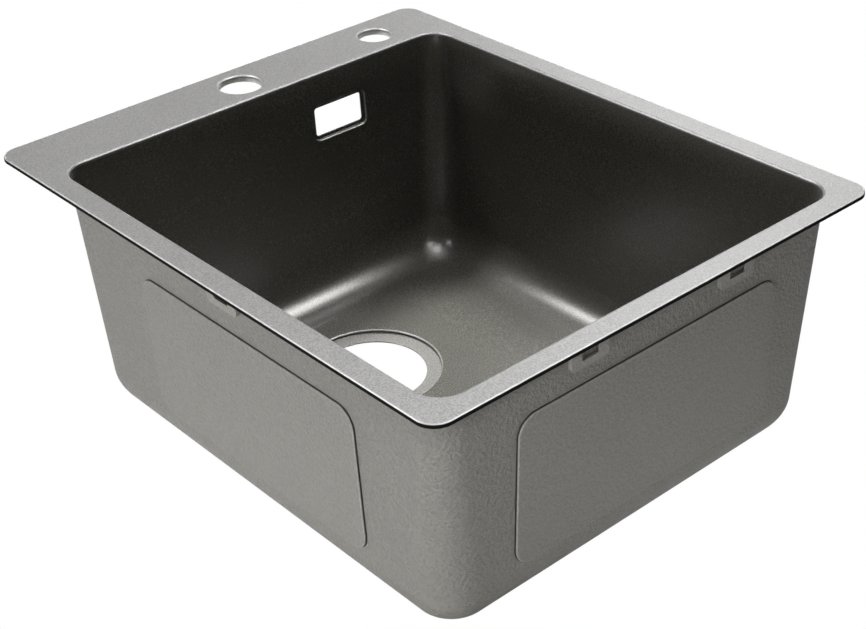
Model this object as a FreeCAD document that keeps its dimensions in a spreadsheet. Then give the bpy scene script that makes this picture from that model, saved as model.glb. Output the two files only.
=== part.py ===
import FreeCAD
import Part
import Sketcher
import math
import os
import re

# An inset kitchen sink: a drawn bowl under a thick deck plate, with a rim seal, sound pads and clip brackets.
# Millimetres, +Z up, +Y towards the tap ledge. The origin is on the worktop's face, at the deck's centre.

# Driving dimensions
SIZES = {
    # deck plate
    "deckWidth": 412,
    "deckLength": 500,
    "deckThickness": 3,
    "deckCornerRadius": 15,
    "deckEdgeRound": 1,
    "sideRim": 20,
    "frontRim": 18.5,
    "tapLedge": 58.5,
    "cornerRadius": 20,
    "openingLip": 2.4,
    "tapHoleRadius": 17.5,
    "tapHoleSetback": 30,
    "accessoryHoleRadius": 14,
    "accessoryHoleInset": 64,
    "holeMouthRound": 2.5,
    "collarWall": 1.4,
    "collarDrop": 2.7,
    # bowl
    "bowlDepth": 203.3,
    "bowlWall": 1.2,
    "bowlTaper": 7.7,
    "floorRound": 34,
    "drainHoleRadius": 45,
    "drainRecessRadius": 57,
    "drainSetback": 121.5,
    "drainLip": 2.2,
    "drainStep": 2.6,
    "drainFootRound": 1,
    "drainSlopeDrop": 1.2,
    "overflowWidth": 48.5,
    "overflowHeight": 24.8,
    "overflowInset": 109,
    "overflowDrop": 40.8,
    "overflowCornerRadius": 2.5,
    "overflowFrame": 3,
    "overflowRecess": 2.9,
    "overflowLip": 0.8,
    # rim seal
    "sealThickness": 2,
    "sealWidth": 6,
    "sealInset": 3,
    # sound pads
    "padThickness": 2,
    "padCornerRadius": 15,
    "padEdgeRound": 0.5,
    "sidePadFrontGap": 83.2,
    "sidePadBackGap": 98.8,
    "sidePadDrop": 45,
    "sidePadFoot": 40.3,
    "frontPadLeftGap": 64,
    "frontPadRightGap": 59,
    "frontPadDrop": 41,
    "frontPadFoot": 41.3,
    "backPadDrop": 62,
    "floorPadSideGap": 66,
    "floorPadFrontGap": 71.5,
    "floorPadDrainGap": 49.6,
    # clip brackets
    "bracketWidth": 34,
    "bracketHeight": 21,
    "bracketDrop": 5,
    "bracketSheet": 1.4,
    "bracketStandOff": 1.8,
    "bracketCornerRadius": 4,
    "bracketEdgeRound": 0.4,
    "slotWidth": 16,
    "slotHeight": 10,
    "slotCornerRadius": 1.5,
    "slotSill": 6,
    "frontBracketLeftGap": 124.5,
    "frontBracketRightGap": 106.5,
    "sideBracketShift": 4.2,
    "backBracketLeftGap": 96,
    "backBracketRightGap": 56,
    # one overrun serves every cut
    "cutOverrun": 6,
}

# Sizes that follow from the driving ones
DERIVED = {
    "openingWidth": "deckWidth - 2 * sideRim",
    "openingLength": "deckLength - frontRim - tapLedge",
    "openingCentre": "(frontRim - tapLedge) / 2",
    "tapHoleY": "deckLength / 2 - tapHoleSetback",
    "accessoryHoleX": "deckWidth / 2 - accessoryHoleInset",
    "outerHalfWidth": "openingWidth / 2 + bowlWall",
    "outerHalfLength": "openingLength / 2 + bowlWall",
    "outerCornerRadius": "cornerRadius + bowlWall",
    "outerFloorRound": "floorRound + bowlWall",
    "footRadius": "floorRound + bowlWall",
    "outerFootRadius": "footRadius + bowlWall",
    "innerDepth": "bowlDepth - bowlWall",
    "bowlSlope": "bowlTaper / bowlDepth",
    "innerTaper": "bowlSlope * innerDepth",
    "wallTilt": "atan(bowlSlope) / 1 deg",
    "drainY": "openingLength / 2 - drainSetback",
    "drainSeatRadius": "drainRecessRadius + drainLip + bowlWall",
    "overflowX": "openingWidth / 2 - overflowInset",
    "frameWidth": "overflowWidth + 2 * overflowFrame",
    "frameHeight": "overflowHeight + 2 * overflowFrame",
    "frameRadius": "overflowCornerRadius + overflowFrame",
    "sealLength": "deckLength - 2 * sealInset",
    "sealBreadth": "deckWidth - 2 * sealInset",
    "sealRadius": "deckCornerRadius - sealInset",
    "sidePadLength": "openingLength - sidePadFrontGap - sidePadBackGap",
    "sidePadShift": "(sidePadBackGap - sidePadFrontGap) / 2",
    "sidePadHeight": "bowlDepth - sidePadDrop - sidePadFoot",
    "frontPadLength": "openingWidth - frontPadLeftGap - frontPadRightGap",
    "frontPadShift": "(frontPadLeftGap - frontPadRightGap) / 2",
    "frontPadHeight": "bowlDepth - frontPadDrop - frontPadFoot",
    "backPadHeight": "bowlDepth - backPadDrop - frontPadFoot",
    "floorPadWidth": "openingWidth - 2 * floorPadSideGap",
    "floorPadFront": "floorPadFrontGap - openingLength / 2",
    "floorPadBack": "drainY - drainSeatRadius - floorPadDrainGap",
    "frontBracketLeft": "openingWidth / 2 - frontBracketLeftGap",
    "frontBracketRight": "openingWidth / 2 - frontBracketRightGap",
    "backBracketLeft": "openingWidth / 2 - backBracketLeftGap",
    "backBracketRight": "openingWidth / 2 - backBracketRightGap",
    "bracketDepth": "bracketStandOff + bracketSheet",
}

WORD = re.compile(r"[A-Za-z]+")

doc = FreeCAD.newDocument("sink")
sheet = doc.addObject("Spreadsheet::Sheet", "sizes")
for row, (alias, value) in enumerate(SIZES.items(), start=1):
    sheet.set("A%d" % row, str(value))
    sheet.setAlias("A%d" % row, alias)
doc.recompute()
for row, (alias, formula) in enumerate(DERIVED.items(), start=1):
    sheet.set("B%d" % row, "=" + formula)
    sheet.setAlias("B%d" % row, alias)
    doc.recompute()


def named(formula):
    """The formula with each size's name pointed at the sheet."""
    def point(found):
        word = found.group(0)
        return "sizes." + word if word in SIZES or word in DERIVED else word
    return WORD.sub(point, formula)


def size(alias):
    return float(sheet.get(alias))


def bind(item, prop, formula):
    item.setExpression(prop, named(formula))


def originPlane(body, role):
    for feature in body.Origin.OriginFeatures:
        if feature.Role == role:
            return feature
    raise ValueError("no origin plane " + role)


def newBody(label):
    body = doc.addObject("PartDesign::Body", label)
    body.Label = label
    return body


# Sketches

def newSketch(body, name, role, lift):
    """Sketch on one of the body's own planes, moved along the plane's normal by lift."""
    sketch = body.newObject("Sketcher::SketchObject", name)
    sketch.AttachmentSupport = [(originPlane(body, role), "")]
    sketch.MapMode = "FlatFace"
    bind(sketch, "AttachmentOffset.Base.z", lift)
    return sketch


def fixPoint(sketch, where, x, y):
    """Hold a point at the place that two formulas give, starting from where it is drawn."""
    curve, end = where
    drawn = sketch.getPoint(curve, end)
    for kind, value, formula in (("DistanceX", drawn.x, x), ("DistanceY", drawn.y, y)):
        number = sketch.addConstraint(Sketcher.Constraint(kind, -1, 1, curve, end, value))
        bind(sketch, "Constraints[%d]" % number, formula)


def fixRadius(sketch, curve, formula):
    number = sketch.addConstraint(Sketcher.Constraint("Radius", curve, 1))
    bind(sketch, "Constraints[%d]" % number, formula)


def outline(body, name, role, points, lift="0"):
    """Closed outline of straight lines through points given as formulas."""
    sketch = newSketch(body, name, role, lift)
    count = len(points)
    turn = 2 * math.pi / count
    spots = [FreeCAD.Vector(math.cos(k * turn), math.sin(k * turn), 0) for k in range(count)]
    for k in range(count):
        sketch.addGeometry(Part.LineSegment(spots[k], spots[(k + 1) % count]), False)
    for k in range(count):
        sketch.addConstraint(Sketcher.Constraint("Coincident", k, 2, (k + 1) % count, 1))
    for k, (x, y) in enumerate(points):
        fixPoint(sketch, (k, 1), x, y)
    return sketch


def disc(body, name, role, radius, x="0", y="0", lift="0"):
    sketch = newSketch(body, name, role, lift)
    sketch.addGeometry(Part.Circle(FreeCAD.Vector(0, 0, 0), FreeCAD.Vector(0, 0, 1), 1), False)
    fixPoint(sketch, (0, 3), x, y)
    fixRadius(sketch, 0, radius)
    return sketch


def roundedRectangle(body, name, role, width, height, radius, x="0", y="0", lift="0"):
    """Four corner arcs, each held by its centre and radius, joined by four lines."""
    sketch = newSketch(body, name, role, lift)
    corners = ((1, 1), (-1, 1), (-1, -1), (1, -1))
    for k, (sideX, sideY) in enumerate(corners):
        middle = Part.Circle(FreeCAD.Vector(sideX, sideY, 0), FreeCAD.Vector(0, 0, 1), 1)
        start = k * math.pi / 2
        sketch.addGeometry(Part.ArcOfCircle(middle, start, start + math.pi / 2), False)
    for k, (sideX, sideY) in enumerate(corners):
        fixPoint(
            sketch,
            (k, 3),
            "%s + %d * ((%s) / 2 - (%s))" % (x, sideX, width, radius),
            "%s + %d * ((%s) / 2 - (%s))" % (y, sideY, height, radius),
        )
        fixRadius(sketch, k, radius)
        level = ("Horizontal", "Vertical") if k % 2 == 0 else ("Vertical", "Horizontal")
        sketch.addConstraint(Sketcher.Constraint(level[0], k, 3, k, 1))
        sketch.addConstraint(Sketcher.Constraint(level[1], k, 3, k, 2))
    for k in range(4):
        after = (k + 1) % 4
        start = sketch.getPoint(k, 2)
        end = sketch.getPoint(after, 1)
        line = sketch.addGeometry(Part.LineSegment(start, end), False)
        sketch.addConstraint(Sketcher.Constraint("Coincident", line, 1, k, 2))
        sketch.addConstraint(Sketcher.Constraint("Coincident", line, 2, after, 1))
    return sketch


# Features

def volume(body):
    return body.Shape.Volume if body.Tip else 0


def checkChange(body, before, grows):
    """Stop when a feature adds or cuts nothing."""
    doc.recompute()
    change = volume(body) - before
    if (change > 0) != grows or change == 0:
        raise ValueError("%s: feature %s changed the volume by %g" % (body.Label, body.Tip.Name, change))


def pad(body, sketch, length, reverse=False):
    before = volume(body)
    feature = body.newObject("PartDesign::Pad", sketch.Name + "Pad")
    feature.Profile = sketch
    feature.Reversed = reverse
    bind(feature, "Length", length)
    checkChange(body, before, True)
    return feature


def pocket(body, sketch, length, reverse=False):
    before = volume(body)
    feature = body.newObject("PartDesign::Pocket", sketch.Name + "Pocket")
    feature.Profile = sketch
    feature.Reversed = reverse
    bind(feature, "Length", length)
    checkChange(body, before, False)
    return feature


def taperedForm(body, kind, name, width, length, taper, depth, topRadius, footRadius):
    """Straight-walled form that hangs from the body's XY plane and narrows downwards by taper on each side."""
    top = roundedRectangle(body, name + "Top", "XY_Plane", width, length, topRadius)
    foot = roundedRectangle(
        body, name + "Foot", "XY_Plane", "%s - 2 * %s" % (width, taper), "%s - 2 * %s" % (length, taper),
        footRadius, lift="-" + depth,
    )
    before = volume(body)
    feature = body.newObject(kind, name)
    feature.Profile = top
    feature.Sections = [foot]
    feature.Ruled = True
    checkChange(body, before, kind == "PartDesign::AdditiveLoft")
    return feature


def near(a, b):
    return abs(a - b) < size("bowlWall") / 50


def beyond(a, b):
    return a > b and not near(a, b)


def roundEdges(body, name, picked, radius):
    """Fillet on the edges that picked accepts, out of the body's present edges."""
    base = body.Tip
    names = ["Edge%d" % (k + 1) for k, edge in enumerate(base.Shape.Edges) if picked(edge)]
    if not names:
        raise ValueError("%s: no edge for %s" % (body.Label, name))
    feature = body.newObject("PartDesign::Fillet", name)
    feature.Base = (base, names)
    bind(feature, "Radius", radius)
    doc.recompute()
    return feature


def flatAt(edge, height):
    """Whether an edge lies in the horizontal plane at that height."""
    return near(edge.BoundBox.ZMin, height) and near(edge.BoundBox.ZMax, height)


# Deck plate

def deckPlate():
    body = newBody("deck_plate")
    bind(body, "Placement.Base.z", "sealThickness")
    plate = roundedRectangle(body, "plateOutline", "XY_Plane", "deckWidth", "deckLength", "deckCornerRadius")
    pad(body, plate, "deckThickness")
    opening = roundedRectangle(
        body, "openingOutline", "XY_Plane", "openingWidth", "openingLength", "cornerRadius",
        y="openingCentre", lift="deckThickness",
    )
    pocket(body, opening, "deckThickness + cutOverrun")
    collar = disc(body, "tapCollar", "XY_Plane", "tapHoleRadius + collarWall", y="tapHoleY")
    pad(body, collar, "collarDrop", reverse=True)
    tap = disc(body, "tapHole", "XY_Plane", "tapHoleRadius", y="tapHoleY", lift="deckThickness")
    pocket(body, tap, "deckThickness + collarDrop + cutOverrun")
    collar = disc(
        body, "accessoryCollar", "XY_Plane", "accessoryHoleRadius + collarWall",
        x="accessoryHoleX", y="tapHoleY",
    )
    pad(body, collar, "collarDrop", reverse=True)
    accessory = disc(
        body, "accessoryHole", "XY_Plane", "accessoryHoleRadius",
        x="accessoryHoleX", y="tapHoleY", lift="deckThickness",
    )
    pocket(body, accessory, "deckThickness + collarDrop + cutOverrun")
    top = size("deckThickness")
    sideX = size("deckWidth") / 2
    sideY = size("deckLength") / 2
    openingX = size("openingWidth") / 2
    ledgeY = size("openingCentre") + size("openingLength") / 2

    def isRim(edge):
        box = edge.BoundBox
        onSide = near(box.XMin, -sideX) or near(box.XMax, sideX)
        onEnd = near(box.YMin, -sideY) or near(box.YMax, sideY)
        return flatAt(edge, top) and (onSide or onEnd)

    def isMouth(edge):
        return flatAt(edge, top) and beyond(edge.BoundBox.YMin, ledgeY) and not isRim(edge)

    def isLip(edge):
        box = edge.BoundBox
        outside = beyond(max(-box.XMin, box.XMax), openingX)
        return flatAt(edge, top) and not (outside or isRim(edge) or isMouth(edge))

    roundEdges(body, "holeMouths", isMouth, "holeMouthRound")
    roundEdges(body, "openingLipRound", isLip, "openingLip")
    roundEdges(body, "deckEdge", isRim, "deckEdgeRound")
    return body


# Bowl

def overflow(body):
    """Window in the back wall, in a frame that is pressed outwards. Each sketch lies along the wall."""
    across = "overflowX"
    onWall = "-(openingLength / 2 - bowlSlope * overflowDrop)"

    def wallSketch(name, width, height, radius):
        sketch = roundedRectangle(body, name, "XZ_Plane", width, height, radius, lift=onWall)
        bind(sketch, "AttachmentOffset.Base.x", across)
        bind(sketch, "AttachmentOffset.Base.y", "-overflowDrop")
        sketch.AttachmentOffset = FreeCAD.Placement(
            sketch.AttachmentOffset.Base, FreeCAD.Rotation(FreeCAD.Vector(1, 0, 0), -size("wallTilt"))
        )
        bind(sketch, "AttachmentOffset.Rotation.Angle", "-wallTilt")
        doc.recompute()
        return sketch

    boss = wallSketch(
        "frameBoss", "frameWidth + 2 * bowlWall", "frameHeight + 2 * bowlWall", "frameRadius + bowlWall"
    )
    pad(body, boss, "overflowRecess + bowlWall", reverse=True)
    frame = wallSketch("frameRecess", "frameWidth", "frameHeight", "frameRadius")
    pocket(body, frame, "overflowRecess")
    window = wallSketch("overflowWindow", "overflowWidth", "overflowHeight", "overflowCornerRadius")
    pocket(body, window, "overflowRecess + bowlWall + cutOverrun")
    wallY = size("openingLength") / 2
    frameX = size("frameWidth") / 2

    def onInnerWall(vertex):
        return near(vertex.Y, wallY + size("bowlSlope") * vertex.Z)

    def isFrameLip(edge):
        box = edge.BoundBox
        reach = max(abs(box.XMin - size("overflowX")), abs(box.XMax - size("overflowX")))
        inFrame = reach < frameX + size("overflowLip")
        return inFrame and box.ZMax < 0 and all(onInnerWall(vertex) for vertex in edge.Vertexes)

    roundEdges(body, "frameLip", isFrameLip, "overflowLip")


def drain(body):
    """Round recess for a basket waste: a rounded lip, a step and a flange that slopes to the hole."""
    floorHole = disc(
        body, "drainCut", "XY_Plane", "drainSeatRadius", y="drainY", lift="-innerDepth + cutOverrun"
    )
    pocket(body, floorHole, "bowlWall + 2 * cutOverrun")
    points = (
        ("drainSeatRadius", "-innerDepth"),
        ("drainRecessRadius", "-innerDepth"),
        ("drainRecessRadius", "-innerDepth - drainStep"),
        ("drainHoleRadius", "-innerDepth - drainStep - drainSlopeDrop"),
        ("drainHoleRadius", "-innerDepth - drainStep - drainSlopeDrop - bowlWall"),
        ("drainRecessRadius + bowlWall", "-bowlDepth - drainStep"),
        ("drainRecessRadius + bowlWall", "-bowlDepth"),
        ("drainSeatRadius", "-bowlDepth"),
    )
    section = outline(body, "drainSection", "XZ_Plane", points, lift="-drainY")
    before = volume(body)
    ring = body.newObject("PartDesign::Revolution", "drainRecess")
    ring.Profile = section
    ring.ReferenceAxis = (section, ["V_Axis"])
    ring.Angle = 360
    checkChange(body, before, True)
    lipRadius = size("drainRecessRadius")
    floor = -size("innerDepth")

    def roundCircle(name, radius, height, formula):
        def isCircle(edge):
            box = edge.BoundBox
            return flatAt(edge, height) and near(box.XLength, 2 * radius) and near(box.YLength, 2 * radius)

        roundEdges(body, name, isCircle, formula)

    roundCircle("drainLipRound", lipRadius, floor, "drainLip")
    roundCircle("drainFoot", lipRadius, floor - size("drainStep"), "drainFootRound")
    shoulder = lipRadius + size("bowlWall")
    under = -size("bowlDepth") - size("drainStep")
    roundCircle("drainShoulder", shoulder, under, "drainFootRound + bowlWall")


def bowl():
    body = newBody("bowl")
    bind(body, "Placement.Base.y", "openingCentre")
    bind(body, "Placement.Base.z", "sealThickness")
    taperedForm(
        body, "PartDesign::AdditiveLoft", "outerForm",
        "2 * outerHalfWidth", "2 * outerHalfLength", "bowlTaper", "bowlDepth",
        "outerCornerRadius", "outerFootRadius",
    )
    taperedForm(
        body, "PartDesign::SubtractiveLoft", "innerForm",
        "openingWidth", "openingLength", "innerTaper", "innerDepth", "cornerRadius", "footRadius",
    )
    floor = -size("innerDepth")
    roundEdges(body, "innerFloorEdge", lambda edge: flatAt(edge, floor), "floorRound")
    bottom = -size("bowlDepth")
    roundEdges(body, "outerFloorEdge", lambda edge: flatAt(edge, bottom), "outerFloorRound")
    overflow(body)
    drain(body)
    return body


# Rim seal

def rimSeal():
    """Strip of foam stuck under the plate's edge, on which the sink rests."""
    body = newBody("rim_seal")
    outer = roundedRectangle(body, "sealOutline", "XY_Plane", "sealBreadth", "sealLength", "sealRadius")
    pad(body, outer, "sealThickness")
    inner = roundedRectangle(
        body, "sealInside", "XY_Plane", "sealBreadth - 2 * sealWidth", "sealLength - 2 * sealWidth",
        "sealRadius - sealWidth", lift="sealThickness",
    )
    pocket(body, inner, "sealThickness + cutOverrun")
    return body


# Sound pads

def stickPad(label, length, height):
    """Flat pad with rounded corners. Its own Z axis points away from the wall that it is stuck to."""
    body = newBody(label)
    face = roundedRectangle(body, label + "Outline", "XY_Plane", length, height, "padCornerRadius")
    pad(body, face, "padThickness")
    top = size("padThickness")
    roundEdges(body, label + "Edge", lambda edge: flatAt(edge, top), "padEdgeRound")
    return body


def setOnWall(body, quarterTurns, halfSpan, across, drop):
    """Place a body on an outer wall, by turns from the front, the way across and the drop."""
    bind(
        body,
        "Placement",
        "placement(vector(0; openingCentre; sealThickness); rotation(vector(0; 0; 1); %d))"
        " * placement(vector(%s; -(%s - bowlSlope * (%s)); -(%s)); rotation(vector(1; 0; 0); 90 + wallTilt))"
        % (90 * quarterTurns, across, halfSpan, drop, drop),
    )


# Walls, by quarter turns from the front, with the half span from the bowl's centre to the wall
FRONT = (0, "outerHalfLength")
RIGHT = (1, "outerHalfWidth")
BACK = (2, "outerHalfLength")
LEFT = (-1, "outerHalfWidth")


def soundPads():
    pads = []
    sideDrop = "sidePadDrop + sidePadHeight / 2"
    frontDrop = "frontPadDrop + frontPadHeight / 2"
    backDrop = "backPadDrop + backPadHeight / 2"
    table = (
        ("pad_left", LEFT, "sidePadLength", "sidePadHeight", "sidePadShift", sideDrop),
        ("pad_right", RIGHT, "sidePadLength", "sidePadHeight", "-sidePadShift", sideDrop),
        ("pad_front", FRONT, "frontPadLength", "frontPadHeight", "frontPadShift", frontDrop),
        ("pad_back", BACK, "frontPadLength", "backPadHeight", "-frontPadShift", backDrop),
    )
    for label, (turns, halfSpan), length, height, across, drop in table:
        body = stickPad(label, length, height)
        setOnWall(body, turns, halfSpan, across, drop)
        pads.append(body)
    floorPad = stickPad("pad_floor", "floorPadWidth", "(floorPadBack - floorPadFront)")
    bind(
        floorPad,
        "Placement",
        "placement(vector(0; openingCentre + (floorPadBack + floorPadFront) / 2; sealThickness - bowlDepth);"
        " rotation(vector(1; 0; 0); 180))",
    )
    pads.append(floorPad)
    return pads


# Clip brackets

def bracket(label):
    """Pressed lug that stands off the wall on two side legs, with a slot for the clip's hook."""
    body = newBody(label)
    half = "bracketWidth / 2"
    points = (
        ("-(%s)" % half, "-bracketHeight / 2"),
        (half, "-bracketHeight / 2"),
        (half, "bracketHeight / 2"),
        ("-(%s)" % half, "bracketHeight / 2"),
    )
    face = outline(body, label + "Outline", "XY_Plane", points)
    pad(body, face, "bracketDepth")
    low = -size("bracketHeight") / 2

    def isLowCorner(edge):
        box = edge.BoundBox
        return near(box.YMin, low) and near(box.YMax, low) and near(box.XMin, box.XMax)

    roundEdges(body, label + "Corners", isLowCorner, "bracketCornerRadius")
    inside = (
        ("-(%s) + bracketSheet" % half, "-bracketHeight / 2 - cutOverrun"),
        ("%s - bracketSheet" % half, "-bracketHeight / 2 - cutOverrun"),
        ("%s - bracketSheet" % half, "bracketHeight / 2 + cutOverrun"),
        ("-(%s) + bracketSheet" % half, "bracketHeight / 2 + cutOverrun"),
    )
    channel = outline(body, label + "Channel", "XY_Plane", inside, lift="bracketStandOff")
    pocket(body, channel, "bracketStandOff + cutOverrun")
    slot = roundedRectangle(
        body, label + "Slot", "XY_Plane", "slotWidth", "slotHeight", "slotCornerRadius",
        y="-bracketHeight / 2 + slotSill + slotHeight / 2", lift="bracketDepth",
    )
    pocket(body, slot, "bracketSheet + bracketStandOff / 2")
    outer = size("bracketDepth")
    slotX = size("slotWidth") / 2

    def isOuterEdge(edge):
        box = edge.BoundBox
        return flatAt(edge, outer) and max(abs(box.XMin), abs(box.XMax)) > slotX + size("slotCornerRadius")

    roundEdges(body, label + "Edge", isOuterEdge, "bracketEdgeRound")
    return body


def clipBrackets():
    brackets = []
    drop = "bracketDrop + bracketHeight / 2"
    table = (
        ("bracket_front_left", FRONT, "-frontBracketLeft"),
        ("bracket_front_right", FRONT, "frontBracketRight"),
        ("bracket_right", RIGHT, "sideBracketShift"),
        ("bracket_back_right", BACK, "-backBracketRight"),
        ("bracket_back_left", BACK, "backBracketLeft"),
        ("bracket_left", LEFT, "-sideBracketShift"),
    )
    for label, (turns, halfSpan), across in table:
        body = bracket(label)
        setOnWall(body, turns, halfSpan, across, drop)
        brackets.append(body)
    return brackets


subParts = [deckPlate(), bowl(), rimSeal()] + soundPads() + clipBrackets()
doc.recompute()

for item in doc.Objects:
    if "Invalid" in item.State or "Error" in item.State:
        raise ValueError("%s failed: %s" % (item.Name, item.State))
for part in subParts:
    if part.Shape.isNull() or not part.Shape.isValid():
        raise ValueError("%s has no valid shape" % part.Label)
    if len(part.Shape.Solids) != 1:
        raise ValueError("%s is %d solids" % (part.Label, len(part.Shape.Solids)))

os.makedirs("parts", exist_ok=True)
for part in subParts:
    part.Shape.exportStep("parts/%s.step" % part.Label)
    print("%-20s %10.0f mm3" % (part.Label, part.Shape.Volume))
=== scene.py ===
import math
import bmesh
import bpy
from mathutils import Matrix, Vector


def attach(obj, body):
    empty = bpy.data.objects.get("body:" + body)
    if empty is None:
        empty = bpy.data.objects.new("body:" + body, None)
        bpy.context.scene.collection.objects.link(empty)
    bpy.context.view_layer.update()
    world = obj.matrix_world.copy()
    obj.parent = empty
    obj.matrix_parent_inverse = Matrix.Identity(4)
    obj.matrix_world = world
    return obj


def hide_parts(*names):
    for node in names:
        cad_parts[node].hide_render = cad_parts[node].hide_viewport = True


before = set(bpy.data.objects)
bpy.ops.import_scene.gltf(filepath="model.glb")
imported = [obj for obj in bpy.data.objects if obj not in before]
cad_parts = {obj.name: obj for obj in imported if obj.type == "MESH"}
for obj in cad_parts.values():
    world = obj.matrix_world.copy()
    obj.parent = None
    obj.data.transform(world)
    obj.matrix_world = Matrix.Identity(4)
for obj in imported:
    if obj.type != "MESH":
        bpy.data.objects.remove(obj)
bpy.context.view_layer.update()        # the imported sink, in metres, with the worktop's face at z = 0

print("frame loaded:", len(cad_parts), "nodes")


class Wire:              # a node's socket that takes part in plain arithmetic
    def __init__(self, finish, socket):
        self.finish = finish
        self.socket = socket

    def sum(self, operation, first, second):
        return self.finish.add("Math", {"operation": operation}, {0: first, 1: second})

    def __add__(self, other):
        return self.sum("ADD", self, other)

    def __radd__(self, other):
        return self.sum("ADD", other, self)

    def __sub__(self, other):
        return self.sum("SUBTRACT", self, other)

    def __rsub__(self, other):
        return self.sum("SUBTRACT", other, self)

    def __mul__(self, other):
        return self.sum("MULTIPLY", self, other)

    def __rmul__(self, other):
        return self.sum("MULTIPLY", other, self)


class Finish:            # one material, built node by node
    def __init__(self, name):
        self.material = bpy.data.materials.new(name)
        self.material.use_nodes = True
        self.tree = self.material.node_tree
        self.tree.nodes.clear()

    def add(self, kind, settings=None, sockets=None, output=0):
        node = self.tree.nodes.new("ShaderNode" + kind)
        for name, value in (settings or {}).items():
            setattr(node, name, value)
        for key, value in (sockets or {}).items():
            if isinstance(value, Wire):
                self.tree.links.new(value.socket, node.inputs[key])
            else:
                node.inputs[key].default_value = value
        return Wire(self, node.outputs[output])

    def place(self):
        return self.add("TexCoord", output="Object")

    def noise(self, scale, detail=2.0, rough=0.5, output="Fac"):
        sockets = {"Vector": self.place(), "Scale": scale, "Detail": detail, "Roughness": rough}
        return self.add("TexNoise", {}, sockets, output)

    def cloud(self, scale, detail=3.0):      # slow change, over a hand's width or so
        return self.noise(scale, detail)

    def band(self, value, low, high):        # 0 below low, 1 above high, smooth between
        settings = {"interpolation_type": "SMOOTHSTEP"}
        sockets = {"Value": value, "From Min": low, "From Max": high}
        return self.add("MapRange", settings, sockets, "Result")

    def blend(self, share, first, second):
        sockets = {0: share, 6: first, 7: second}      # Mix numbers its colour sockets 6, 7 and 2
        return self.add("Mix", {"data_type": "RGBA"}, sockets, 2)

    def relief(self, strength, distance, height):
        sockets = {"Strength": strength, "Distance": distance, "Height": height}
        return self.add("Bump", {}, sockets, "Normal")

    def end(self, surface):
        last = self.tree.nodes.new("ShaderNodeOutputMaterial")
        self.tree.links.new(surface.socket, last.inputs["Surface"])
        return self.material

    def close(self, sockets):
        return self.end(self.add("BsdfPrincipled", {}, sockets, "BSDF"))


warmRed, warmBlue = 0.7, 3      # how much warmth adds to red and takes from blue


def grey(value, warmth=0.0):
    return (value * (1 + warmRed * warmth), value, value * (1 - warmBlue * warmth), 1.0)


deckLook = {
    "dark": 0.055, "light": 0.165, "warmth": 0.008, "metal": 0.15, "shine": 0.6,
    "grain": 750.0, "grainRough": 0.75, "low": 0.25, "high": 0.75, "grainShare": 0.85, "cloud": 9.0,
    "rough": 0.40, "roughByGrain": 0.12, "roughByCloud": 0.05, "relief": 0.55, "depth": 0.00009,
    # the plate's outline, for what lies near its edge
    "halfX": 0.206, "halfY": 0.250, "corner": 0.015, "top": 0.005,
    # painted highlight: a lighter band along the plate's outer top edge
    "edgePaintedHighlight": 0.23, "highlightFrom": 0.0016, "highlightTo": 0.0006, "topFrom": 0.0007, "topTo": 0.0003,
    # painted shade: the plate's outer side face is given a near-black dull shader
    "sidePaintedShade": 0.004, "sideFrom": 0.0008, "sideTo": 0.0003,
    "sideRough": 0.8, "sideByGrain": 0.1, "sideShine": 0.05,
    "holesStart": 0.197, "holesFade": 0.002,
    # painted light: the tap holes' rounds and walls are lighter than the plate
    "holeRoundPaintedLight": 0.22, "holeWallPaintedLight": 0.70, "wallFrom": 0.0032, "wallTo": 0.0018,
}


def grained(finish, look):
    # what the fine-grained coats share: the grain itself, its colour, roughness and relief
    fine = finish.noise(look["grain"], rough=look["grainRough"])
    cloud = finish.cloud(look["cloud"])
    share = look["grainShare"]
    tone = finish.band(fine, look["low"], look["high"]) * share + cloud * (1 - share)
    colour = finish.blend(tone, grey(look["dark"], look["warmth"]), grey(look["light"], look["warmth"]))
    rough = look["rough"] + (fine - 0.5) * look["roughByGrain"] + (cloud - 0.5) * look["roughByCloud"]
    return fine, colour, rough, finish.relief(look["relief"], look["depth"], fine)


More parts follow.
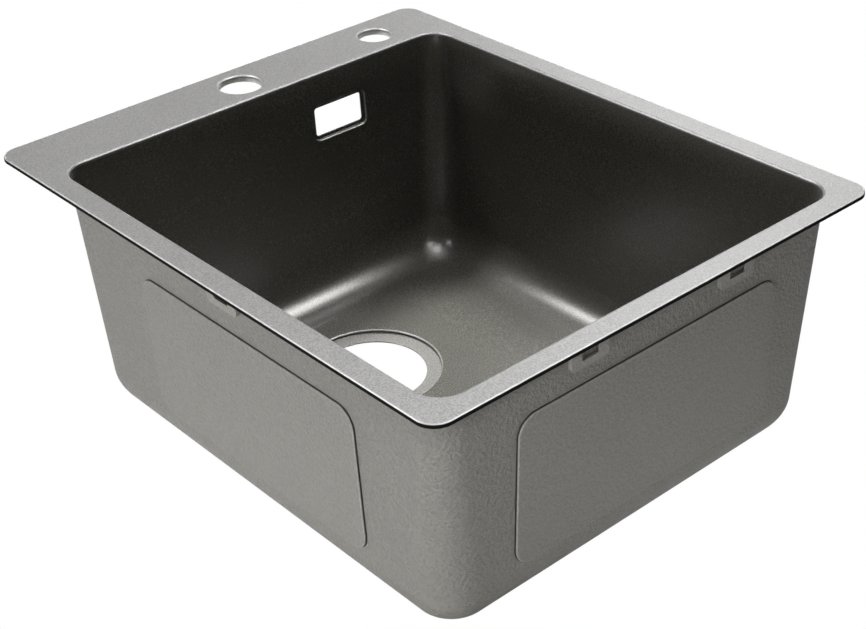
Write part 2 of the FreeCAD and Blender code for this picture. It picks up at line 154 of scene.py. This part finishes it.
def deckCoat():
    look = deckLook
    warmth = look["warmth"]
    finish = Finish("deckCoat")
    fine, colour, rough, bump = grained(finish, look)
    # how far out a spot lies, counted from the middle of the plate's corner rounds
    inner = (look["halfX"] - look["corner"], look["halfY"] - look["corner"], 1.0)
    spread = finish.add("VectorMath", {"operation": "ABSOLUTE"}, {0: finish.place()}, "Vector")
    spread = finish.add("VectorMath", {"operation": "SUBTRACT"}, {0: spread, 1: inner}, "Vector")
    spread = finish.add("VectorMath", {"operation": "MAXIMUM"}, {0: spread, 1: (0, 0, 0)}, "Vector")
    reach = finish.add("VectorMath", {"operation": "LENGTH"}, {0: spread}, "Value")
    height = finish.add("SeparateXYZ", {}, {0: finish.place()}, "Z")
    along = finish.add("SeparateXYZ", {}, {0: finish.place()}, "Y")

    corner, top = look["corner"], look["top"]
    atHighlightedEdge = finish.band(reach, corner - look["highlightFrom"], corner - look["highlightTo"])
    onTop = finish.band(height, top - look["topFrom"], top - look["topTo"])
    onPaintedShadeSide = finish.band(reach, corner - look["sideFrom"], corner - look["sideTo"]) * (1 - onTop)
    byHoles = finish.band(along, look["holesStart"], look["holesStart"] + look["holesFade"])
    inPaintedLightHole = byHoles * (1 - onTop) * (1 - onPaintedShadeSide)
    onWall = 1 - finish.band(height, top - look["wallFrom"], top - look["wallTo"])

    # painted highlight: the plate's outer top edge is lightened
    highlighted = finish.blend(atHighlightedEdge * onTop, colour, grey(look["edgePaintedHighlight"], warmth))
    hole = finish.blend(onWall, grey(look["holeRoundPaintedLight"], warmth), grey(look["holeWallPaintedLight"], warmth))
    shown = finish.blend(inPaintedLightHole, highlighted, hole)           # painted light: the holes' rounds and walls are lighter than the plate, in place of the light they catch
    face = finish.add("BsdfPrincipled", {}, {
        "Base Color": shown, "Metallic": look["metal"], "Specular IOR Level": look["shine"],
        "Roughness": rough, "Normal": bump,
    }, "BSDF")
    # painted shade: the outer side face takes a near-black dull shader in place of its shade
    side = finish.add("BsdfPrincipled", {}, {
        "Base Color": grey(look["sidePaintedShade"], warmth), "Specular IOR Level": look["sideShine"],
        "Roughness": look["sideRough"] + (fine - 0.5) * look["sideByGrain"],
    }, "BSDF")
    return finish.end(finish.add("MixShader", {}, {0: onPaintedShadeSide, 1: face, 2: side}, "Shader"))


insideLook = {
    "dark": 0.045, "light": 0.115, "warmth": 0.04, "metal": 0.1, "shine": 0.45,
    "grain": 850.0, "grainRough": 0.7, "low": 0.25, "high": 0.75, "grainShare": 0.8, "cloud": 7.0,
    "rough": 0.27, "roughByGrain": 0.08, "roughByCloud": 0.04, "relief": 0.4, "depth": 0.00006,
}
# what the drain and the overflow have otherwise: lighter copies of the inside coat, which are painted light
drainPaintedLightLook = {**insideLook, "dark": 0.155, "light": 0.180, "warmth": 0.02, "relief": 0.15}
# painted highlight: the drain's lip round is lighter
drainLipHighlightLook = {**insideLook, "dark": 0.19, "light": 0.25, "warmth": 0.02, "relief": 0.15}
# painted highlight: the overflow's lower lip is much lighter
lipHighlightLook = {**insideLook, "dark": 0.45, "light": 0.60, "warmth": 0.01, "rough": 0.35}


def insideCoat(name, look):
    finish = Finish(name)
    _, colour, rough, bump = grained(finish, look)
    return finish.close({
        "Base Color": colour, "Metallic": look["metal"], "Specular IOR Level": look["shine"],
        "Roughness": rough, "Normal": bump,
    })


sprayLook = {
    "dark": 0.120, "light": 0.210, "warmth": 0.03, "rough": 0.5, "roughByPeel": 0.15, "shine": 0.35,
    "peel": 370.0, "speck": 900.0, "speckRough": 0.6, "cloud": 5.0, "low": 0.3, "high": 0.7,
    "peelShare": 0.3, "speckShare": 0.4, "cloudShare": 0.3,
    "relief": 1.0, "depth": 0.0015, "speckRelief": 0.3,
}


def sprayCoat(name, shade=1.0, smooth=1.0):      # the textured coat outside, with its orange peel
    look = sprayLook
    finish = Finish(name)
    peel = finish.noise(look["peel"])
    speck = finish.noise(look["speck"], rough=look["speckRough"])
    tone = finish.band(peel, look["low"], look["high"]) * look["peelShare"]
    tone = tone + finish.band(speck, look["low"], look["high"]) * look["speckShare"]
    tone = tone + finish.cloud(look["cloud"]) * look["cloudShare"]
    dark = grey(look["dark"] * shade, look["warmth"])
    light = grey(look["light"] * shade, look["warmth"])
    return finish.close({
        "Base Color": finish.blend(tone, dark, light), "Specular IOR Level": look["shine"],
        "Roughness": look["rough"] + (peel - 0.5) * look["roughByPeel"],
        "Normal": finish.relief(look["relief"] * smooth, look["depth"], peel + speck * look["speckRelief"]),
    })


foamLook = {
    "dark": 0.010, "light": 0.030, "cells": 1800.0, "cellRough": 0.7, "low": 0.3, "high": 0.7,
    "rough": 0.9, "roughByCell": 0.1, "relief": 0.6, "depth": 0.0002,
}


def foam():
    look = foamLook
    finish = Finish("sealFoam")
    cells = finish.noise(look["cells"], rough=look["cellRough"])
    tone = finish.band(cells, look["low"], look["high"])
    return finish.close({
        "Base Color": finish.blend(tone, grey(look["dark"]), grey(look["light"])),
        "Roughness": look["rough"] + (cells - 0.5) * look["roughByCell"],
        "Normal": finish.relief(look["relief"], look["depth"], cells),
    })


shadeLook = {
    "dark": 0.003, "light": 0.012, "warmth": 0.02, "cells": 700.0, "rough": 0.75, "roughByCell": 0.1,
}


def paintedShadeLine():           # painted shade: the line of shade round a pad and down the drain's step
    look = shadeLook
    finish = Finish("padEdgePaintedShadeCoat")
    cells = finish.noise(look["cells"])
    dark, light = (grey(look[tone], look["warmth"]) for tone in ("dark", "light"))
    return finish.close({
        "Base Color": finish.blend(cells, dark, light),
        "Roughness": look["rough"] + (cells - 0.5) * look["roughByCell"],
    })


coats = {
    "deck": deckCoat(),
    "inside": insideCoat("bowlInsideCoat", insideLook),
    "drain": insideCoat("drainPaintedLightCoat", drainPaintedLightLook),
    "drainLip": insideCoat("drainLipPaintedHighlightCoat", drainLipHighlightLook),
    "lip": insideCoat("lipPaintedHighlightCoat", lipHighlightLook),
    "outside": sprayCoat("bowlOutsideCoat"),
    "pad": sprayCoat("padCoat", shade=1.04, smooth=0.6),
    # painted highlight: a lighter copy of the spray coat for the pads' rounded edges
    "padRim": sprayCoat("padRimPaintedHighlightCoat", shade=1.4, smooth=0.5),
    "bracket": sprayCoat("bracketCoat", shade=1.3, smooth=0.5),
    "foam": foam(),
    "edge": paintedShadeLine(),
}
print("finishes made:", len(coats))


def roundRect(halfX, halfY, radius, arcSteps, runX=1, runY=1):
    # rounded rectangle, from the right side anticlockwise; runs are the parts of a straight side
    points = []
    corners = ((1, 1, 0), (-1, 1, 1), (-1, -1, 2), (1, -1, 3))
    for signX, signY, quarter in corners:
        centre = Vector((signX * (halfX - radius), signY * (halfY - radius)))
        for step in range(arcSteps + 1):
            angle = (quarter + step / arcSteps) * math.pi / 2
            points.append(centre + radius * Vector((math.cos(angle), math.sin(angle))))
        runs = runX if quarter % 2 == 0 else runY
        nextX, nextY, _ = corners[(quarter + 1) % 4]
        nextCentre = Vector((nextX * (halfX - radius), nextY * (halfY - radius)))
        turned = (quarter + 1) * math.pi / 2
        end = nextCentre + radius * Vector((math.cos(turned), math.sin(turned)))
        start = points[-1]
        points += [start.lerp(end, step / runs) for step in range(1, runs)]
    return points


def addRing(bm, points):
    return [bm.verts.new(point) for point in points]


def joinRings(bm, first, second, coat=0, skip=None):
    count = len(first)
    for k in range(count):
        after = (k + 1) % count
        corners = (first[k], first[after], second[after], second[k])
        if skip and skip(corners):
            continue
        face = bm.faces.new(corners)
        face.material_index = coat


def joinAll(bm, rings, coat=0):
    for first, second in zip(rings, rings[1:]):
        joinRings(bm, first, second, coat)


def loopEdges(bm, ring):
    edges = []
    for k, vert in enumerate(ring):
        other = ring[(k + 1) % len(ring)]
        edges.append(bm.edges.get((vert, other)) or bm.edges.new((vert, other)))
    return edges


def fillFlat(bm, edges, coat):
    made = bmesh.ops.triangle_fill(bm, use_beauty=True, use_dissolve=False, edges=edges)
    for item in made["geom"]:
        if isinstance(item, bmesh.types.BMFace):
            item.material_index = coat


flatWeight = 60          # how far large flat faces keep their own normal beside small rounds


def newPiece(name, bm, finishes, replaced):
    bmesh.ops.recalc_face_normals(bm, faces=bm.faces)
    mesh = bpy.data.meshes.new(name)
    bm.to_mesh(mesh)
    bm.free()
    for polygon in mesh.polygons:
        polygon.use_smooth = True
    for finish in finishes:
        mesh.materials.append(finish)
    piece = bpy.data.objects.new(name, mesh)
    bpy.context.scene.collection.objects.link(piece)
    modifier = piece.modifiers.new("flatNormals", "WEIGHTED_NORMAL")
    modifier.mode = "FACE_AREA"
    modifier.weight = flatWeight
    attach(piece, "root")
    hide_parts(replaced)
    return piece


bowl = {
    "halfX": 0.186, "halfY": 0.2115, "centreY": -0.020, "top": 0.002,
    "floor": -0.2001, "rise": 0.0012, "skin": 0.0012, "slope": 7.7 / 203.3,
    "cornerTop": 0.020, "cornerFoot": 0.0268, "cornerFloor": 0.0168, "floorRound": 0.034,
    "creaseSharp": 14.0, "creaseStart": 0.03,
    "rows": 14, "roundSteps": 18, "arcSteps": 16, "runX": 16, "runY": 26, "floorRings": 22,
}
drain = {
    "x": 0.0, "y": 0.070, "flat": 0.0625, "recess": 0.057, "hole": 0.045,
    "lip": 0.0012, "lipSteps": 5, "step": 0.0032, "foot": 0.0006, "footSteps": 4, "drop": 0.0006,
    "edge": 0.0003, "edgeFall": 0.00006, "outerLip": 0.0012, "outerFall": 0.0009,
}
window = {
    "x": 0.077, "drop": 0.0408, "halfX": 0.02425, "halfY": 0.0124, "corner": 0.0025,
    "frame": 0.0030, "recess": 0.0029, "lip": 0.0009, "lipSteps": 5, "arcSteps": 6, "edge": 0.0003,
    "turn": 0.0006, "turnSteps": 4, "margin": 0.0015, "wallReach": 0.012,
    "gapX": 0.08, "gapY": 0.15, "gapLow": -0.09, "gapHigh": 0.0015,
}
tilt = math.atan(bowl["slope"])
bowlCoats = ("inside", "outside", "drain", "drainLip", "lip", "edge")
insideSlot, outsideSlot, drainPaintedLightSlot, drainLipHighlightSlot, lipHighlightSlot, shadeSlot = range(len(bowlCoats))


def bowlPoints(halfX, halfY, radius):
    return roundRect(halfX, halfY, radius, bowl["arcSteps"], bowl["runX"], bowl["runY"])


def between(first, second, share):
    return first + (second - first) * share


def wallProfile(skin):
    # (inset from the opening, height, corner radius) down the wall and round the floor's edge; the
    # corner radius grows down the wall and shrinks again round the floor's edge
    radius = bowl["floorRound"] + skin
    centreZ = bowl["floor"] + bowl["rise"] - skin + radius
    centreIn = bowl["slope"] * (bowl["top"] - centreZ) + radius / math.cos(tilt)
    touchZ = centreZ - radius * math.sin(tilt)
    profile = []
    for row in range(bowl["rows"] + 1):
        share = row / bowl["rows"]
        height = between(bowl["top"], touchZ, share)
        corner = between(bowl["cornerTop"], bowl["cornerFoot"], share) + skin
        profile.append((bowl["slope"] * (bowl["top"] - height), height, corner))
    touchIn = profile[-1][0]
    for step in range(1, bowl["roundSteps"] + 1):
        angle = tilt + (math.pi / 2 - tilt) * step / bowl["roundSteps"]
        inset = centreIn - radius * math.cos(angle)
        height = centreZ - radius * math.sin(angle)
        share = (inset - touchIn) / (centreIn - touchIn)
        profile.append((inset, height, between(bowl["cornerFoot"], bowl["cornerFloor"], share) + skin))
    return profile


def wallRings(bm, skin):
    rings = []
    for inset, height, corner in wallProfile(skin):
        outline = bowlPoints(bowl["halfX"] + skin - inset, bowl["halfY"] + skin - inset, corner)
        rings.append(addRing(bm, [(p.x, p.y + bowl["centreY"], height) for p in outline]))
    return rings


def floorRise(x, y):
    # height over the drain's level: four slopes that meet in soft creases
    inset = wallProfile(0)[-1][0]
    edgeX = bowl["halfX"] - inset
    edgeBack = bowl["centreY"] + bowl["halfY"] - inset
    edgeFront = bowl["centreY"] - bowl["halfY"] + inset
    ways = (
        (edgeX - x, edgeX - drain["x"] - drain["flat"]),
        (edgeX + x, edgeX + drain["x"] - drain["flat"]),
        (edgeBack - y, edgeBack - drain["y"] - drain["flat"]),
        (y - edgeFront, drain["y"] - edgeFront - drain["flat"]),
    )
    sharp = bowl["creaseSharp"]
    total = sum(math.exp(sharp * (1 - way / reach)) for way, reach in ways)
    away = math.hypot(x - drain["x"], y - drain["y"]) - drain["flat"]
    ease = max(0.0, min(1.0, away / bowl["creaseStart"]))
    return bowl["rise"] * min(1.0, math.log(total) / sharp) * ease * ease * (3 - 2 * ease)


def floorAndDrain(bm, edgeRing, skin, coat):
    # rings from the floor's edge in to the drain's flat, then the drain's own section
    outline = [Vector((v.co.x, v.co.y)) for v in edgeRing]
    angles = [math.atan2(spot.y - drain["y"], spot.x - drain["x"]) for spot in outline]
    middle = Vector((drain["x"], drain["y"]))
    rings = [edgeRing]
    for step in range(1, bowl["floorRings"] + 1):
        share = step / bowl["floorRings"]
        points = []
        for spot, angle in zip(outline, angles):
            onDrain = middle + drain["flat"] * Vector((math.cos(angle), math.sin(angle)))
            place = spot.lerp(onDrain, share)
            height = bowl["floor"] - skin + floorRise(place.x, place.y)
            points.append((place.x, place.y, height))
        rings.append(addRing(bm, points))
    flatEnd = len(rings)
    for radius, depth in (drainInside() if skin == 0 else drainOutside()):
        height = bowl["floor"] - depth
        spots = [middle + radius * Vector((math.cos(angle), math.sin(angle))) for angle in angles]
        rings.append(addRing(bm, [(spot.x, spot.y, height) for spot in spots]))
    joinAll(bm, rings[:flatEnd + 1], coat)
    if coat == outsideSlot:
        joinAll(bm, rings[flatEnd:], coat)
    else:
        lipEnd = flatEnd + drain["lipSteps"]
        # the drain's lip takes the painted highlight coat
        joinAll(bm, rings[flatEnd:lipEnd + 1], drainLipHighlightSlot)
        joinAll(bm, rings[lipEnd:lipEnd + 2], shadeSlot)       # the step's upright part lies in shade
        joinAll(bm, rings[lipEnd + 1:], drainPaintedLightSlot)
    return rings[-1]


def bend(centreA, centreB, radius, start, end, steps):
    # points of an arc in a section, with angles in degrees
    made = []
    for step in range(steps + 1):
        angle = math.radians(start + (end - start) * step / steps)
        made.append((centreA + radius * math.cos(angle), centreB + radius * math.sin(angle)))
    return made


def drainInside():
    d = drain
    lip = [(d["recess"] + d["lip"] - r, z) for r, z in bend(0, d["lip"], d["lip"], -90, 0, d["lipSteps"])]
    section = bend(0, d["step"] - d["foot"], d["foot"], 0, 90, d["footSteps"])
    foot = [(d["recess"] - d["foot"] + r, z) for r, z in section]
    low = d["step"] + d["drop"]
    return lip + foot + [(d["hole"] + d["edge"], low - d["edgeFall"]), (d["hole"], low + d["edge"])]


def drainOutside():
    d, skin = drain, bowl["skin"]
    out = d["recess"] + skin
    turn = d["foot"] + skin
    lip = [(out + d["outerLip"], skin), (out, skin + d["outerFall"])]
    section = bend(0, d["step"] - turn, turn, 0, 90, d["footSteps"])
    shoulder = [(out - turn + r, z + skin) for r, z in section]
    low = d["step"] + d["drop"] + skin
    return lip + shoulder + [(d["hole"] + d["edge"], low), (d["hole"], low - d["edge"])]


def overflowPatch(bm, profile, hole, coat):
    # fills the gap left in the back wall with the pressed frame's own section
    w = window
    onWall = bowl["centreY"] + bowl["halfY"] - bowl["slope"] * w["drop"]
    origin = Vector((w["x"], onWall, bowl["top"] - w["drop"]))
    up = Vector((0, math.sin(tilt), math.cos(tilt)))
    out = Vector((0, math.cos(tilt), -math.sin(tilt)))
    rings = []
    for grow, depth in profile:
        outline = roundRect(w["halfX"] + grow, w["halfY"] + grow, w["corner"] + grow, w["arcSteps"])
        rings.append(addRing(bm, [origin + Vector((p.x, 0, 0)) + up * p.y + out * depth for p in outline]))
    lipEnd = w["lipSteps"]
    joinAll(bm, rings, coat)
    if coat == insideSlot:         # the lower lip gets a painted highlight, lighter where light from above falls on it
        lip = {vert for ring in rings[:lipEnd + 1] for vert in ring}
        for face in bm.faces:
            if lip.issuperset(face.verts) and (face.calc_center_median() - origin).dot(up) < -w["halfY"]:
                face.material_index = lipHighlightSlot
    fillFlat(bm, hole + loopEdges(bm, rings[0]), coat)
    return rings[-1]


def cutsWindow(corners):
    # whether a face of the back wall lies in the way of the pressed frame
    w = window
    reach = w["frame"] + bowl["skin"] + w["margin"]
    middleZ = bowl["top"] - w["drop"]
    xs = [v.co.x for v in corners]
    zs = [v.co.z for v in corners]
    onBack = min(v.co.y for v in corners) > bowl["centreY"] + bowl["halfY"] - w["wallReach"]
    overX = max(xs) > w["x"] - w["halfX"] - reach and min(xs) < w["x"] + w["halfX"] + reach
    overZ = max(zs) > middleZ - w["halfY"] - reach and min(zs) < middleZ + w["halfY"] + reach
    return onBack and overX and overZ


def holeEdges(bm, coat):
    # the open edges round the gap that was left for the frame
    w = window
    found = []
    for edge in bm.edges:
        if len(edge.link_faces) != 1 or edge.link_faces[0].material_index != coat:
            continue
        middle = (edge.verts[0].co + edge.verts[1].co) / 2
        inHeight = w["gapLow"] < middle.z < w["gapHigh"]
        if abs(middle.x - w["x"]) < w["gapX"] and middle.y > w["gapY"] and inHeight:
            found.append(edge)
    return found


def frameInside():
    w, edge = window, window["edge"]
    lip = [(w["frame"] + w["lip"] - a, b) for a, b in bend(0, w["lip"], w["lip"], -90, 0, w["lipSteps"])]
    foot = [(w["frame"], w["recess"] - edge), (w["frame"] - edge, w["recess"])]
    return lip + foot + [(edge, w["recess"]), (0, w["recess"] + edge)]


def frameOutside():
    out = window["frame"] + bowl["skin"]
    deep = window["recess"] + bowl["skin"]
    turn, edge = window["turn"], window["edge"]
    rounded = [(out - turn + a, deep - turn + b) for a, b in bend(0, 0, turn, 0, 90, window["turnSteps"])]
    return [(out, bowl["skin"])] + rounded + [(edge, deep), (0, deep - edge)]


def makeBowl():
    bm = bmesh.new()
    ends = []
    for skin, coat in ((0, insideSlot), (bowl["skin"], outsideSlot)):
        rings = wallRings(bm, skin)
        for first, second in zip(rings, rings[1:]):
            joinRings(bm, first, second, coat, cutsWindow)
        section = frameOutside() if coat == outsideSlot else frameInside()
        windowEnd = overflowPatch(bm, section, holeEdges(bm, coat), coat)
        drainEnd = floorAndDrain(bm, rings[-1], skin, coat)
        ends.append((rings[0], windowEnd, drainEnd))
    # the drain hole's cut edge takes the painted shade coat
    for inside, outside, coat in zip(*ends, (insideSlot, insideSlot, shadeSlot)):
        joinRings(bm, inside, outside, coat)
    spare = [vert for vert in bm.verts if not vert.link_faces]         # left inside the window's gap
    bmesh.ops.delete(bm, geom=spare, context="VERTS")
    return newPiece("bowl_shell", bm, [coats[key] for key in bowlCoats], "bowl")


bowlPiece = makeBowl()
print("bowl made:", len(bowlPiece.data.polygons), "faces")


pads = {
    "thick": 0.0020, "corner": 0.015, "edge": 0.0009, "edgeSteps": 4,
    "arcSteps": 10, "runX": 30, "runY": 16,
    "skirt": 0.0004, "skirtLow": 0.00004, "skirtHigh": 0.0002, "sideRings": 3,
    "walls": {
        # node: quarter turns from the front, middle across, middle down, half sizes
        "pad_left": (3, 0.0078, 0.104, 0.1205, 0.059),
        "pad_right": (1, -0.0078, 0.104, 0.1205, 0.059),
        "pad_front": (0, 0.0025, 0.1015, 0.1245, 0.0605),
        "pad_back": (2, -0.0025, 0.112, 0.1245, 0.050),
    },
    "floor": (0.120, 0.060, -0.100),       # half sizes and where its middle lies from front to back
}
padCoats = ("pad", "edge", "padRim")
padSlot, padPaintedShadeSlot, padRimHighlightSlot = range(len(padCoats))


def wallFrame(turns, across, drop):
    # a wall's own axes at a spot: across, up the wall, and out of it
    half = (bowl["halfY"] if turns % 2 == 0 else bowl["halfX"]) + bowl["skin"]
    turned = Matrix.Rotation(turns * math.pi / 2, 3, "Z")
    along = turned @ Vector((1, 0, 0))
    out = turned @ Vector((0, -math.cos(tilt), -math.sin(tilt)))
    up = turned @ Vector((0, -math.sin(tilt), math.cos(tilt)))
    spot = turned @ Vector((across, -(half - bowl["slope"] * drop), 0))
    origin = spot + Vector((0, bowl["centreY"], bowl["top"] - drop))
    return origin, along, up, out


def padSection():
    p = pads
    high = p["thick"] - p["edge"]
    side = [(p["skirt"], p["skirtLow"]), (0.0, p["skirtHigh"]), (0.0, high)]
    rounded = [(a - p["edge"], high + b) for a, b in bend(0, 0, p["edge"], 0, 90, p["edgeSteps"])]
    return side + rounded[1:]


def makePad(name, halfX, halfY, origin, along, up, out, lift=None):
    # lift bends the pad to the floor's creases
    p = pads
    bm = bmesh.new()
    rings = []
    for grow, depth in padSection():
        outline = roundRect(
            halfX + grow, halfY + grow, p["corner"] + grow, p["arcSteps"], p["runX"], p["runY"],
        )
        rings.append(addRing(bm, [origin + along * q.x + up * q.y + out * depth for q in outline]))
    # painted shade: each pad's thin skirt and upright side are near black
    joinAll(bm, rings[:p["sideRings"]], padPaintedShadeSlot)
    # the pads' rounded edges take the painted highlight coat
    joinAll(bm, rings[p["sideRings"] - 1:], padRimHighlightSlot)
    for ring in (rings[-1], rings[0]):
        fillFlat(bm, loopEdges(bm, ring), padSlot)
    if lift:
        for vert in bm.verts:
            vert.co.z += lift(vert.co.x, vert.co.y)
    return newPiece(name + "_sheet", bm, [coats[key] for key in padCoats], name)


for node, (turns, across, drop, halfX, halfY) in pads["walls"].items():
    makePad(node, halfX, halfY, *wallFrame(turns, across, drop))
floorHalfX, floorHalfY, floorY = pads["floor"]
makePad(
    "pad_floor", floorHalfX, floorHalfY, Vector((0, floorY, bowl["floor"] - bowl["skin"])),
    Vector((1, 0, 0)), Vector((0, -1, 0)), Vector((0, 0, -1)), floorRise,
)
print("pads made")


seal = {
    "halfX": 0.203, "halfY": 0.247, "corner": 0.012, "width": 0.006, "high": 0.002,
    "round": 0.0005, "roundSteps": 3, "arcSteps": 8, "runX": 24, "runY": 28,
}


def makeSeal():
    s = seal
    bm = bmesh.new()
    rings = []
    r = s["round"]
    outer, inner, high = -r, r - s["width"], s["high"] - r
    section = []
    for across, up, start in ((outer, r, -90), (outer, high, 0), (inner, high, 90), (inner, r, 180)):
        section += bend(across, up, r, start, start + 90, s["roundSteps"])
    for grow, height in section:
        outline = roundRect(
            s["halfX"] + grow, s["halfY"] + grow, s["corner"] + grow, s["arcSteps"], s["runX"], s["runY"],
        )
        rings.append(addRing(bm, [(p.x, p.y, height) for p in outline]))
    joinAll(bm, rings + rings[:1])
    return newPiece("rim_seal_strip", bm, [coats["foam"]], "rim_seal")


makeSeal()
print("seal made")


for name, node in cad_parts.items():      # the deck plate and the brackets keep their CAD meshes
    coat = "deck" if name == "deck_plate" else "bracket" if name.startswith("bracket") else None
    if coat:
        for place in node.material_slots:
            place.material = coats[coat]


stage = {
    "floorZ": -0.46, "size": 60.0, "pale": 0.3, "paler": 0.306, "cloud": 2.0, "cloudDetail": 2.0,
    "rough": 0.9, "glow": 1.0,
}


def makeStage():
    bm = bmesh.new()
    half = stage["size"] / 2
    places = ((-half, -half), (half, -half), (half, half), (-half, half))
    bm.faces.new([bm.verts.new((x, y, stage["floorZ"])) for x, y in places])
    mesh = bpy.data.meshes.new("paleFloor")
    bm.to_mesh(mesh)
    bm.free()
    finish = Finish("paleFloorPaint")
    cloud = finish.cloud(stage["cloud"], stage["cloudDetail"])
    colour = finish.blend(cloud, grey(stage["pale"]), grey(stage["paler"]))
    lit = finish.add("BsdfPrincipled", {}, {"Base Color": colour, "Roughness": stage["rough"]}, "BSDF")
    glow = finish.add("Emission", {}, {"Color": grey(1.0), "Strength": stage["glow"]}, "Emission")
    seen = finish.add("LightPath", output="Is Camera Ray")       # white to the lens, lit as a pale floor
    above = finish.add("MixShader", {}, {0: seen, 1: lit, 2: glow}, "Shader")
    behind = finish.add("NewGeometry", output="Backfacing")      # clear when looked at from below
    clear = finish.add("BsdfTransparent", output="BSDF")
    shown = finish.add("MixShader", {}, {0: behind, 1: above, 2: clear}, "Shader")
    mesh.materials.append(finish.end(shown))
    floor = bpy.data.objects.new("paleFloor", mesh)
    bpy.context.scene.collection.objects.link(floor)


makeStage()

lamps = {
    # place, aim, width, height, watts, spread in degrees, what it shows in
    "key": ((0.45, 0.82, 1.75), (0, 0, 0), 1.0, 0.3, 115, 180, "diffuse"),
    "keyGleam": ((0.45, 0.82, 1.75), (0, 0, 0), 1.0, 0.3, 36, 180, "gloss"),
    "over": ((0.15, 0.0, 2.2), (0, 0, 0), 0.6, 0.6, 18, 180, "all"),
    "bandRight": ((0.8, -0.69, 1.7), (0, 0, -0.2), 1.0, 1.0, 85, 180, "gloss"),
    "bandBack": ((-0.92, 0.9, 1.55), (0, 0, -0.2), 1.0, 1.0, 90, 180, "gloss"),
    "sheen": ((2.78, 1.95, 2.12), (0, 0, 0), 1.2, 0.8, 39, 180, "all"),
    "left": ((-1.75, 0.75, -0.12), (0, 0, -0.15), 1.2, 0.5, 18, 180, "all"),
    "corner": ((-1.6, -1.0, -0.1), (0, 0, -0.15), 1.0, 0.5, 20, 180, "all"),
    "front": ((-0.35, -0.62, 0.36), (-0.12, -0.225, -0.14), 0.7, 0.2, 0.30, 30, "all"),
}
for name, (place, aim, width, height, watts, spread, showsIn) in lamps.items():
    light = bpy.data.lights.new(name + "Softbox", "AREA")
    light.shape = "RECTANGLE"
    light.size = width
    light.size_y = height
    light.energy = watts
    light.spread = math.radians(spread)
    lamp = bpy.data.objects.new(name + "Softbox", light)
    lamp.location = place
    lamp.rotation_euler = (Vector(aim) - Vector(place)).to_track_quat("-Z", "Y").to_euler()
    lamp.visible_diffuse = showsIn != "gloss"
    lamp.visible_glossy = showsIn != "diffuse"
    lamp.visible_camera = False
    bpy.context.scene.collection.objects.link(lamp)

world = bpy.data.worlds.new("studio")
world.use_nodes = True
backdrop = world.node_tree.nodes["Background"]
backdrop.inputs["Color"].default_value = grey(1.0)
lightPath = world.node_tree.nodes.new("ShaderNodeLightPath")       # white to the lens, and no light from it
world.node_tree.links.new(lightPath.outputs["Is Camera Ray"], backdrop.inputs["Strength"])
bpy.context.scene.world = world
bpy.context.scene.view_settings.view_transform = "Standard"

camera = {
    "place": (-0.7077, -0.8507, 0.5695),
    "azimuth": -40.103, "elevation": 31.873, "roll": -2.49, "lens": 70.626, "sensor": 36,
    "clipStart": 0.05, "clipEnd": 50,
}


def makeCamera():
    azimuth, elevation, roll = (math.radians(camera[key]) for key in ("azimuth", "elevation", "roll"))
    level = Vector((math.sin(azimuth), -math.cos(azimuth), 0))
    back = level * math.cos(elevation) + Vector((0, 0, math.sin(elevation)))
    right = Vector((math.cos(azimuth), math.sin(azimuth), 0))
    up = back.cross(right)
    across = right * math.cos(roll) + up * math.sin(roll)
    upright = up * math.cos(roll) - right * math.sin(roll)
    lens = bpy.data.cameras.new("photoCamera")
    lens.lens = camera["lens"]
    lens.sensor_width = camera["sensor"]
    lens.clip_start = camera["clipStart"]
    lens.clip_end = camera["clipEnd"]
    taker = bpy.data.objects.new("photoCamera", lens)
    turned = Matrix((across, upright, back)).transposed().to_4x4()
    taker.matrix_world = Matrix.Translation(camera["place"]) @ turned
    bpy.context.scene.collection.objects.link(taker)
    bpy.context.scene.camera = taker


makeCamera()
print("stage, light and camera set")
